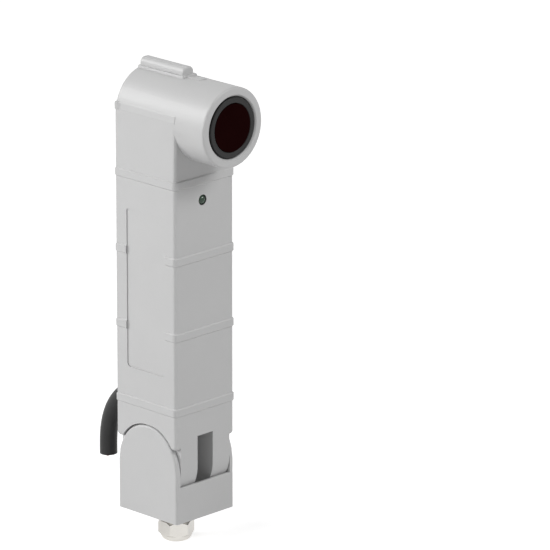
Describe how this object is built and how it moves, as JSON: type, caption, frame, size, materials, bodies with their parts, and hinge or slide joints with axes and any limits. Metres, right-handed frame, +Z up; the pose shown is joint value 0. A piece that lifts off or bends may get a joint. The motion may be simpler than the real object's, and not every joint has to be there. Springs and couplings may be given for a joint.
{
  "type": "safety through-beam sensor",
  "caption": "Upright safety through-beam sensor head with a horizontal optics barrel, a banded column, a tilting knuckle in a fork base, a cable gland below and a rear cable tail.",
  "frame": {"origin": "centre of the base's underside, on the plane of its mounting holes", "axes": "+Z up along the column, -Y out of the optics barrel, X along the tilt axis"},
  "size_m": [0.046, 0.1025, 0.2705],
  "materials": {
    "housing_paint": "light grey smooth powder coat",
    "base_paint": "light grey smooth powder coat",
    "cover_plastic": "light grey moulded",
    "ring_black": "black, fine satin",
    "window_red": "very dark red, polished filter",
    "rubber_black": "black",
    "cable_sheath": "black PVC sheath, satin",
    "nickel": "nickel plated brass, satin",
    "brass": "plain turned",
    "steel": "zinc plated",
    "tube_black": "black anodised",
    "lens_glass": "clear, polished",
    "board_green": "green solder mask",
    "package_black": "black moulded",
    "relay_grey": "dark grey moulded",
    "terminal_green": "green moulded",
    "lamp_green": "dark green tinted lens",
    "gasket_foam": "dark grey foam",
    "bush_plastic": "natural acetal",
    "fibre": "friction fibre",
    "claw_plastic": "natural polyamide",
    "wire_insulation": "coloured core insulation",
    "ribbon_grey": "grey ribbon insulation"
  },
  "bodies": {
    "base": {"base_bracket": "base_paint", "pivot_screw": "steel", "pivot_nut": "steel", "gland_nipple": "nickel", "gland_cap_nut": "nickel", "gland_claw": "claw_plastic", "gland_seal": "rubber_black", "gland_o_ring": "rubber_black", "mount_inserts": "brass"},
    "housing": {"main_housing": "housing_paint", "pivot_bushes": "bush_plastic", "friction_washers": "fibre", "floor_grommet": "rubber_black", "rear_cover": "cover_plastic", "cover_gasket": "gasket_foam", "cover_screws": "steel", "retaining_ring": "ring_black", "lens_window": "window_red", "window_seal": "rubber_black", "optics_tube": "tube_black", "collimator_lens": "lens_glass", "lens_retainer": "ring_black", "optics_screws": "steel", "receiver_board": "board_green", "receiver_screws": "steel", "photodiode": "package_black", "main_board": "board_green", "board_screws": "steel", "indicator_led": "lamp_green", "output_relays": "relay_grey", "board_capacitors": "package_black", "board_chips": "package_black", "terminal_block": "terminal_green", "terminal_screws": "steel", "core_wires": "wire_insulation", "ribbon_cable": "ribbon_grey", "ribbon_connectors": "package_black", "tail_grommet": "rubber_black", "cable_tail": "cable_sheath"}
  },
  "joints": [
    {"name": "tilt", "type": "hinge", "parent": "base", "child": "housing", "pos_m": [0, 0, 0.0305], "axis": [1, 0, 0], "range_deg": [-25, 25]}
  ]
}
